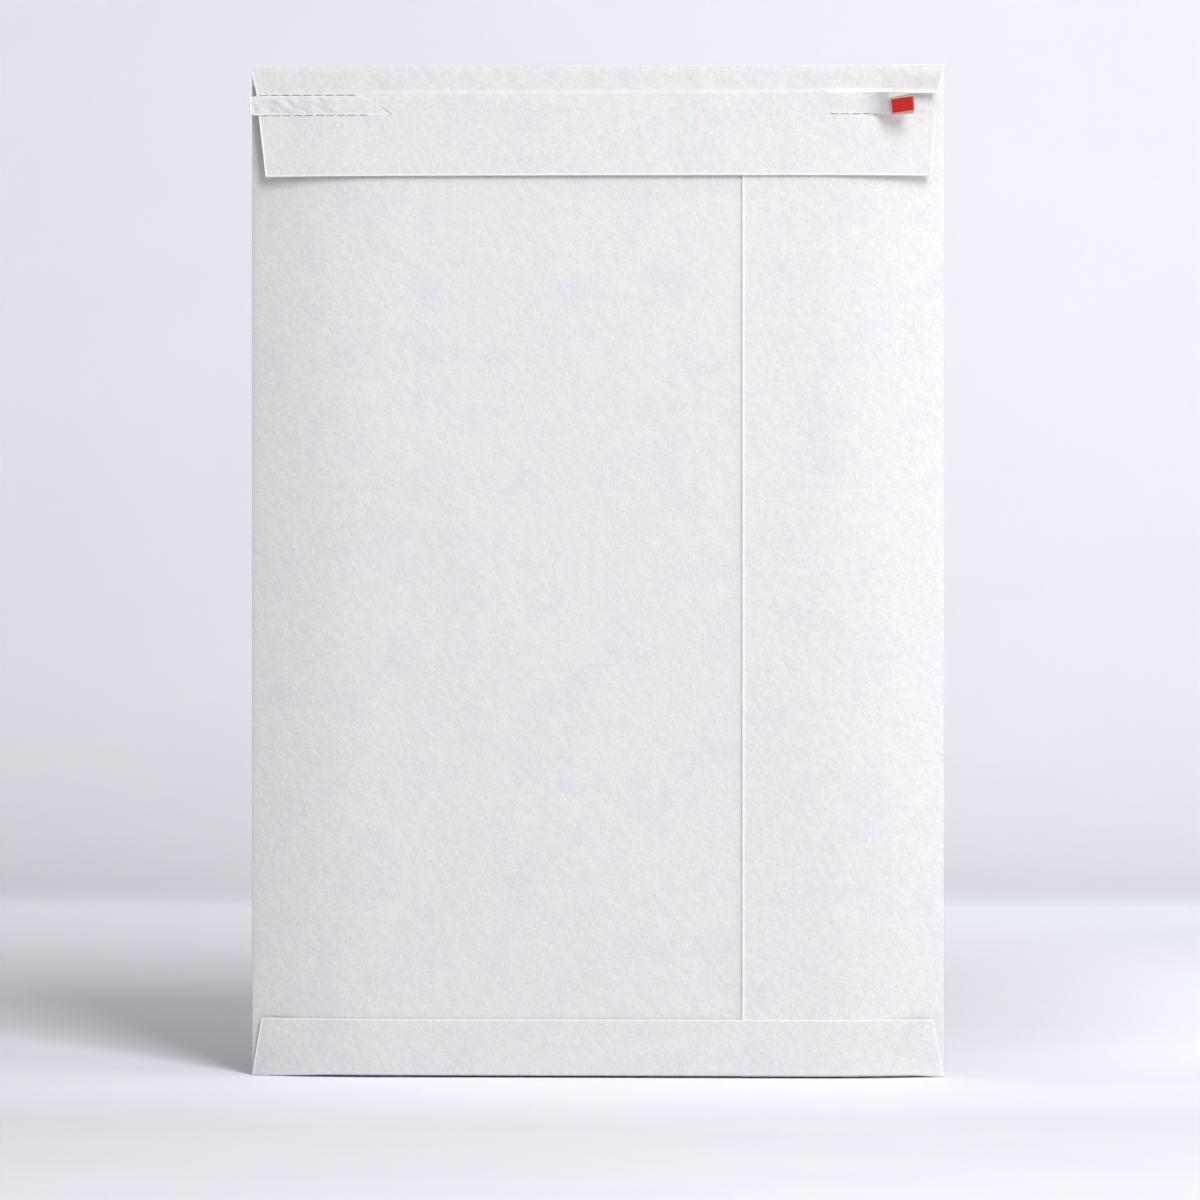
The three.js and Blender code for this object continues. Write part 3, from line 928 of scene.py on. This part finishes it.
lower_band = sheet(
    "flap_lower_band_sheet", "flap_lower_band", lower_band_grid(), "flap",
    soft=("left", "right", "bottom"))
perforate(lower_band, strip_bottom - SLIT_OFF, LEFT_SLITS[1], -1, 21, LEFT_ROWS_END[1])
perforate(lower_band, strip_bottom - SLIT_OFF, RIGHT_SLITS, 1, 22, RIGHT_ROW_END)

# %% [markdown]
# ### Adhesive and liner
# Both lie hidden behind the lower band until the flap opens. The liner is wider than the
# adhesive, so that a thumb can catch its edge.

# %% Adhesive and liner
SEAL_RIM = 0.05
for name, node, body, rim in (
        ("seal_adhesive_film", "seal_adhesive", "flap", SEAL_RIM),
        ("release_liner_sheet", "release_liner", "release_liner", FILM_RIM)):
    node_face = low(node, Y)
    film(name, node, lambda x, z: node_face + side_bend(x, z), body, node, (2.5, 1.5), rim)

# %% [markdown]
# ## The tear strip and its tabs
# The left tab lies flush, cut free of the strip along a curve at its root, and handling
# has wrinkled it. Its upper edge stands a hair proud of the flap and draws a bright line,
# and its lower edge lies flush, except at the free end, which juts past the flap's side.

# %% Root of the left tab
ROOT_POWER = 0.7
TAB_CORNER = 1.3
TAB_PROUD = 0.36  # the tab's upper edge stands this far above the flap, its lower one is flush
TAB_WRINKLE = 0.45
TAPE_RELIEF = 0.06  # the tape behind lifts the strip and the tabs by this much
TAB_WORN_FROM = (-80, -100)  # the wrinkles grow over this stretch
TAB_LOOSE_FROM = (-112, -118)  # and here the free end comes loose


def root_cut(z):
    share = np.clip((strip_top - z) / (strip_top - strip_bottom), 0, 1)
    return root_top + (root_low - root_top) * share ** ROOT_POWER


def strip_rows():
    near = np.array([0.16, 0.32, 0.5, 0.7, 0.95])
    return stations(strip_bottom, strip_top, 0.4, *(strip_bottom + near), *(strip_top - near))


def shown_height(x, z):
    """The strip near the tab, and the tab, lie a little lower than the blank's flat height."""
    return z - tab_inset(x) * (z - strip_bottom) / (strip_top - strip_bottom)


def tape_relief(z):
    over = smooth_step(tape_bottom - 0.5, tape_bottom + 0.4, z)
    return TAPE_RELIEF * over * smooth_step(tape_top + 0.5, tape_top - 0.4, z)


def rounded_end(z):
    inset = np.clip(TAB_CORNER - np.minimum(z - strip_bottom, strip_top - z), 0, TAB_CORNER)
    return TAB_CORNER - np.sqrt(TAB_CORNER ** 2 - inset ** 2)


# %% Left tab
def left_tab_face(x, z):
    worn = smooth_step(*TAB_WORN_FROM, x)
    loose = smooth_step(*TAB_LOOSE_FROM, x)
    wrinkles = noise_field(x, z, 2.2, 7.7, 2.4, -38) + 0.5 * noise_field(x, z, 1.3, 3.1, 2.0, 25)
    wrinkles = wrinkles * smooth_step(0, 1.4, np.minimum(z - strip_bottom, strip_top - z))
    curl = lit_edge(z - strip_bottom, EDGE_CURL, EDGE_REACH) * 1.4 * loose
    curl = curl + lit_edge(half_width + x, 1.4 * EDGE_CURL, EDGE_REACH)
    curl = curl - lit_edge(strip_top - z, 1.6 * EDGE_CURL, 0.8)
    curl = curl - lit_edge(0.6 * (root_cut(z) - x), 1.2 * EDGE_CURL, 0.7)
    proud = TAB_PROUD * np.maximum(smooth_step(strip_bottom, strip_top - 1.5, z), loose)
    lean = side_bend(x, z) - proud - TAB_WRINKLE * worn * wrinkles
    return flap_face + lean - tape_relief(z) - curl


def left_tab_grid():
    across, z = np.meshgrid(np.union1d(np.linspace(0, 1, 130), [0.004, 0.011]), strip_rows())
    left = rounded_end(z) - half_width
    x = left + (root_cut(z) - left) * across
    return np.stack([x, left_tab_face(x, z), shown_height(x, z)], axis=2)


sheet("left_tab_sheet", "left_tab", left_tab_grid(), "left_tab", rim=TORN_RIM)

# %% [markdown]
# ### Strip and right tab
# The right tab has been pulled: it bends away from the flap and its end is folded back,
# so the tape shows. It is drawn flat first, along the strip, and then bent along a
# profile: steeper and steeper to a crest, and easing off before the tight turn at the
# fold. The profile's last slope is solved so that the fold lands where the joint has it.

# %% Where the right tab lifts and folds
joints = {joint["name"]: joint for joint in frame["joints"]}
lift_line = np.array(joints["right_tab_lift"]["pos_m"]) / MM
lift_angle = math.radians(-joints["right_tab_lift"]["range_deg"][0])
fold_line = np.array(joints["pull_end_unfold"]["pos_m"]) / MM
fold_angle = math.radians(joints["pull_end_unfold"]["range_deg"][1])
tab_length = math.dist(lift_line[:2], fold_line[:2])
fold_axis = np.array(joints["pull_end_unfold"]["axis"])
fold_lean = math.atan2(math.hypot(fold_axis[0], fold_axis[1]), fold_axis[2])
END_TORN = 1.3  # the end has torn short by this much
end_length = half_width - lift_line[X] - tab_length - END_TORN
strip_middle = (strip_top + strip_bottom) / 2
STRIP_END = lift_line[X] - 6.0
NEAR_ROOT = (0.0015, 0.003, 0.005, 0.0075)  # shares of the strip's length
TAB_SPLIT = 15.5  # the folding piece starts this far out along the tab
STEEPEST = 52.0  # degrees; the tab steepens to this, then eases off before the fold
STEEPEST_AT = 0.6
EASED_AT = 0.7
TAB_DROOP = 1.1  # the pulled tab leans down by this much at the fold
TAB_BACK = 1.1  # and its bend takes up this much of its length
outer_offset = flap_face - lift_line[Y]
angles = [round(math.degrees(angle), 2) for angle in (lift_angle, fold_angle, fold_lean)]
print("lift, fold and lean in degrees:", angles)


def crossing_at(z):
    """Distance along the tab, at height z, from the lift line to the slanting fold."""
    return tab_length - (z - strip_middle) * math.tan(fold_lean)


shares = np.linspace(0, 1, 201)


def bend_profile(end_slope):
    """Slopes along the tab, and how far out and off the flap they take it."""
    rise = STEEPEST * smooth_step(0, STEEPEST_AT, shares) ** 1.6
    ease = end_slope + (STEEPEST - end_slope) * smooth_step(EASED_AT, STEEPEST_AT, shares)
    slopes = np.radians(np.where(shares < STEEPEST_AT, rise, ease))
    middle = (slopes[1:] + slopes[:-1]) / 2
    out, off = (np.append(0, np.cumsum(way(middle))) / len(middle) for way in (np.cos, np.sin))
    return slopes, out, off


tries = np.linspace(-20, 30, 101)
ends = [bend_profile(end_slope) for end_slope in tries]
end_slope = np.interp(lift_angle, [math.atan2(off[-1], out[-1]) for _, out, off in ends], tries)
bend_slopes, bend_out, bend_off = bend_profile(end_slope)
print(f"the tab steepens to {STEEPEST:.0f} degrees and meets the fold at {end_slope:.1f}")


def bent_length(z):
    return crossing_at(z) / math.hypot(bend_out[-1], bend_off[-1])


def settle_tab(points, share):
    """The tab's weight and bend draw it down and back, from the lift line to the fold."""
    settled = smooth_step(0, 1, share)
    points[..., X] -= TAB_BACK * settled
    points[..., Z] -= TAB_DROOP * settled
    return points


def lift(points):
    """Bend a flat stretch of tab along the profile, from the lift line to the fold."""
    turned = points.copy()
    away = points[..., X] - lift_line[X]
    offset = points[..., Y] - lift_line[Y]
    length = bent_length(points[..., Z])
    slope = np.interp(away / length, shares, bend_slopes)
    x = length * np.interp(away / length, shares, bend_out) + offset * np.sin(slope)
    y = offset * np.cos(slope) - length * np.interp(away / length, shares, bend_off)
    turned[..., X] = lift_line[X] + np.where(away > 0, x, away)
    turned[..., Y] = lift_line[Y] + np.where(away > 0, y, offset)
    return settle_tab(turned, away / length)


# %% Tear strip, up to the bend
def strip_face(x, z):
    return flap_surface(x, z) - tape_relief(z)


def strip_grid(left, rows):
    across, z = np.meshgrid(stations(0, 1, 0.8 / (STRIP_END + half_width), *NEAR_ROOT), rows)
    x = left(z) + (STRIP_END - left(z)) * across
    return np.stack([x, strip_face(x, z), shown_height(x, z)], axis=2)


sheet(
    "tear_strip_sheet", "tear_strip", strip_grid(root_cut, strip_rows()), "tear_strip", soft=("left",))


# %% Lifted tab, from the strip out to the split
def tab_face(x, z):
    settle = smooth_step(lift_line[X] + 9, lift_line[X], x)
    worn = 0.05 * noise_field(x, z, 3.2, 12.4, 2.2, -35) * (1 - settle)
    return flap_face + (strip_face(x, z) - flap_face) * settle - worn - tape_relief(z) * (1 - settle)


def tab_grid(rows):
    x, z = np.meshgrid(stations(STRIP_END, lift_line[X] + TAB_SPLIT, 0.4), rows)
    return lift(np.stack([x, tab_face(x, z), z], axis=2))


right_tab = sheet("right_tab_sheet", "right_tab", tab_grid(strip_rows()), soft=("bottom", "top"))


def across_lift(piece):
    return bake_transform(piece)


across_lift(right_tab)

# %% The folding end
FOLD_STEPS = 14
END_TAPER = 0.55  # the torn end narrows by this much at each side


def end_grid(rows, depth, free_end):
    """Stations along the tab: on it, round the fold, and along the folded end."""
    radius = outer_offset + depth
    share, z = np.meshgrid(np.linspace(0, 1, 26), rows)
    x = lift_line[X] + TAB_SPLIT + (bent_length(z) - TAB_SPLIT) * share
    y = tab_face(x, z) if depth == 0.0 else np.full_like(x, lift_line[Y] + radius)
    on_tab = lift(np.stack([x, y, z], axis=2))

    along = np.linspace(0, 1, 22)[1:]
    first = math.radians(end_slope) - lift_angle
    turn = np.linspace(first, fold_angle, FOLD_STEPS + 1)[1:]
    angle = np.append(turn, np.full(len(along), fold_angle))
    share, z = np.meshgrid(np.append(np.zeros(FOLD_STEPS), along), rows)
    c, s = math.cos(fold_lean), math.sin(fold_lean)
    past_fold = (free_end - crossing_at(z)) * share
    turned = past_fold * c * np.cos(angle) + radius * np.sin(angle)
    y = lift_line[Y] + radius * np.cos(angle) - past_fold * c * np.sin(angle)
    x = lift_line[X] + crossing_at(z) + turned * c + past_fold * s * s
    rise = z + turned * s - past_fold * s * c
    if depth == 0.0:
        rise = rise - END_TAPER * share * (z - strip_middle) / (strip_top - strip_middle)
    return np.hstack([on_tab, lift_whole(np.stack([x, y, rise], axis=2))])


def lift_whole(points):
    turned = points.copy()
    away, offset = points[..., X] - lift_line[X], points[..., Y] - lift_line[Y]
    c, s = math.cos(-lift_angle), math.sin(-lift_angle)
    turned[..., X] = lift_line[X] + away * c - offset * s
    turned[..., Y] = lift_line[Y] + away * s + offset * c
    return settle_tab(turned, 1.0)


pull_end = sheet(
    "pull_end_sheet", "pull_end", end_grid(strip_rows(), 0.0, tab_length + end_length),
    soft=("right", "bottom", "top"), rim=TORN_RIM)


def across_fold(piece):
    ends = np.array([[lift_line[X] + tab_length, lift_line[Y] + outer_offset, strip_middle],
                     [lift_line[X] + tab_length, lift_line[Y] - outer_offset, strip_middle]])
    near, far = lift_whole(ends)
    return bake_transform(piece)


across_fold(pull_end)

# %% [markdown]
# ### Tear tape
# The tape runs behind the strip from tab to tab, and round the fold of the pulled end,
# where it is on the outside and shows its red.

# %% Tape on the strip and on both tabs
TAPE_GAP = 0.03
TAPE_INSET = 0.7  # the tape ends this far inside the tabs' ends
ROOT_GAP = 1.2  # and this far from the root cut, on both its sides
tape_rows = stations(tape_bottom, tape_top, 0.5)
tape_behind = paper + TAPE_GAP
on_back = {"slot": "tear_tape", "thickness": tape, "behind": tape_behind, "soft": ()}


def left_tape_grid():
    across, z = np.meshgrid(np.linspace(0, 1, 60), tape_rows)
    left = TAPE_INSET - half_width
    x = left + (root_cut(z) - ROOT_GAP - left) * across
    return np.stack([x, left_tab_face(x, z), z], axis=2)


tape_grid = strip_grid(lambda z: root_cut(z) + ROOT_GAP, tape_rows)
sheet("tear_tape_film", "tear_tape", tape_grid, "tear_strip", **on_back)
sheet("left_tab_tape_film", "left_tab_tape", left_tape_grid(), "left_tab", **on_back)
across_lift(sheet("right_tab_tape_film", "right_tab_tape", tab_grid(tape_rows), **on_back))
end_tape_grid = end_grid(tape_rows, tape_behind, tab_length + end_length - TAPE_INSET)
across_fold(sheet(
    "pull_end_tape_film", "pull_end_tape", end_tape_grid, slot="tear_tape", thickness=tape,
    soft=("right",), rim=FILM_RIM))

# %% [markdown]
# ## Studio
# A pale sweep of paper runs under the envelope and up behind it. The key lamp is a tall
# soft one, high on the right, and a second one at the same place lights the sweep alone.
# A weak lamp low on the right and another overhead pick out the cut edges, and an even
# pale sky fills the rest. The sweep also glows a little for the camera alone, most on the
# right and far back, so it can be pale without lighting the envelope.

# %% Sweep paper
SWEEP_LIGHT = srgb(246, 246, 252)
SWEEP_DARK = srgb(236, 236, 245)
SWEEP_BOUNCE = srgb(208, 208, 213)  # it returns less light to the envelope than the eye sees
# painted shade: the sweep is painted darker in front of the envelope, where less lamp light falls
SWEEP_NEAR_SHADE = 0.84  # and is this much darker in front of the envelope
WALL_TINT = srgb(247, 252, 255)
WALL_STARTS = (0.96, 1.03)  # metres back, where the floor's glow gives way to the wall's
WALL_GLOW_ACROSS = (0.045, 0.13)  # light that the wall adds for the camera alone, left and right
WALL_GLOW_UP = (0.0, 0.09)  # and how much more of it higher up
FLOOR_GLOW = (0.0, 0.28)  # the same for the floor, near and far
FLOOR_GLOW_ACROSS = (0.75, 1.25)
FLOOR_GLOW_RIGHT = 0.26  # and on the right, away from the shadow


def make_sweep_paper():
    material = bpy.data.materials.new("sweep_paper")
    material.use_nodes = True
    tree = material.node_tree
    place = add_node(tree, "ShaderNodeTexCoord")["Object"]
    axes = add_node(tree, "ShaderNodeSeparateXYZ", [place])
    seen = add_node(tree, "ShaderNodeLightPath")["Is Camera Ray"]

    def fade(axis, start, end, first=0.0, last=1.0):
        return ramp(tree, axes[axis], start, end, first, last, "SMOOTHSTEP")

    def product(*factors):
        return reduce(partial(maths, tree, "MULTIPLY"), factors)

    wide = add_node(tree, "ShaderNodeMapping", {"Vector": place, "Scale": (1.0, 2.2, 2.2)})[0]
    clouds = noise_node(tree, wide, Scale=9.0, Detail=5.0, Roughness=0.6)[0]
    colour = blend_colour(tree, clouds, SWEEP_LIGHT, SWEEP_DARK)
    # painted shade on the floor in front of the envelope
    colour = blend_colour(tree, 1.0, colour, fade("Y", -0.17, 0.0, SWEEP_NEAR_SHADE), "MULTIPLY")
    shown = blend_colour(tree, seen, SWEEP_BOUNCE, colour)

    wall_across = fade("X", -0.45, 0.45, *WALL_GLOW_ACROSS)
    wall_up = fade("Z", -0.1, 0.34, *WALL_GLOW_UP)
    wall = product(maths(tree, "ADD", wall_across, wall_up), fade("Y", *WALL_STARTS))
    floor = product(
        fade("Y", 0.15, 0.97, *FLOOR_GLOW), fade("X", -0.5, 0.4, *FLOOR_GLOW_ACROSS),
        fade("Y", *WALL_STARTS, 1.0, 0.0))
    right = product(
        fade("X", 0.1, 0.3, 0.0, FLOOR_GLOW_RIGHT), fade("Y", -0.04, 0.12),
        fade("Y", 0.3, 0.8, 1.0, 0.0))
    glow = product(reduce(partial(maths, tree, "ADD"), (wall, floor, right)), seen)
    return end_finish(material, {
        "Base Color": shown, "Roughness": 0.7, "Emission Color": WALL_TINT, "Emission Strength": glow})

# %% Sweep
SWEEP_BACK = 1150.0
SWEEP_RADIUS = 180.0
SWEEP_FRONT = -1800.0
SWEEP_HALF = 2600.0
SWEEP_TOP = 2400.0


def make_sweep():
    path = [(SWEEP_FRONT, 0.0), (0.0, 0.0)]
    path += arc((SWEEP_BACK - SWEEP_RADIUS, SWEEP_RADIUS), SWEEP_RADIUS, -90, 0, 24)
    path += [(SWEEP_BACK, SWEEP_TOP)]
    mesh = bpy.data.meshes.new("sweep")
    points = [(side * SWEEP_HALF * MM, y * MM, z * MM) for y, z in path for side in (1, -1)]
    faces = [(2 * k, 2 * k + 2, 2 * k + 3, 2 * k + 1) for k in range(len(path) - 1)]
    mesh.from_pydata(points, [], faces)
    mesh.polygons.foreach_set("use_smooth", [True] * len(mesh.polygons))
    mesh.materials.append(make_sweep_paper())
    return show(bpy.data.objects.new("sweep", mesh))


sweep = make_sweep()

# %% Lamps and sky
KEY_SIZE = (0.5, 0.9)
BODY_MIDDLE = (0.0, 0.0, 0.17)


def from_object(azimuth, elevation, distance):
    a, e = math.radians(azimuth), math.radians(elevation)
    aim = Vector((0, 0, height / 2 * MM))
    return aim + distance * Vector((math.sin(a) * math.cos(e), -math.cos(a) * math.cos(e), math.sin(e)))


def turn_to(thing, place, target):
    thing.location = place
    thing.rotation_euler = (Vector(target) - Vector(place)).to_track_quat("-Z", "Y").to_euler()
    return show(thing)


def soft_lamp(name, place, target, size, watts):
    data = bpy.data.lights.new(name, "AREA")
    data.shape = "RECTANGLE"
    data.size, data.size_y = size
    data.energy = watts
    return turn_to(bpy.data.objects.new(name, data), place, target)


key_place = from_object(23, 33, 1.6)
soft_lamp("key_lamp", key_place, BODY_MIDDLE, KEY_SIZE, 13.2)
floor_lamp = soft_lamp("floor_lamp", key_place, BODY_MIDDLE, KEY_SIZE, 12.4)
floor_only = bpy.data.collections.new("floor_only")
floor_only.objects.link(sweep)
floor_lamp.light_linking.receiver_collection = floor_only
soft_lamp("side_lamp", from_object(72, 5, 0.7), (0.0, 0.0, 0.15), (0.3, 0.45), 1.0)
soft_lamp("top_lamp", from_object(40, 72, 1.3), (0.0, 0.0, 0.2), (0.9, 0.9), 1.7)
sky = bpy.data.worlds.new("sky")
sky.use_nodes = True
feed(sky.node_tree.nodes["Background"], {"Color": (1.0, 1.0, 1.0, 1.0), "Strength": 0.3})
bpy.context.scene.world = sky
print("lamps:", [lamp.name for lamp in bpy.data.lights])

# %% [markdown]
# ## Camera
# The photograph looks almost square on, from a long way off and from mid height, with a
# trace of turn that brings the right edge nearer.

# %% Camera
CAMERA_DISTANCE = 1.726
CAMERA_TURN = math.radians(1.65)
AIM = Vector((0.00115, flap_face * MM, 0.1651))
camera_data = bpy.data.cameras.new("camera")
camera_data.lens = 150
camera_data.sensor_width = 36
camera_place = AIM + Vector((math.sin(CAMERA_TURN), -math.cos(CAMERA_TURN), 0)) * CAMERA_DISTANCE
camera = turn_to(bpy.data.objects.new("camera", camera_data), camera_place, AIM)
bpy.context.scene.camera = camera
bpy.context.scene.view_settings.view_transform = "Standard"
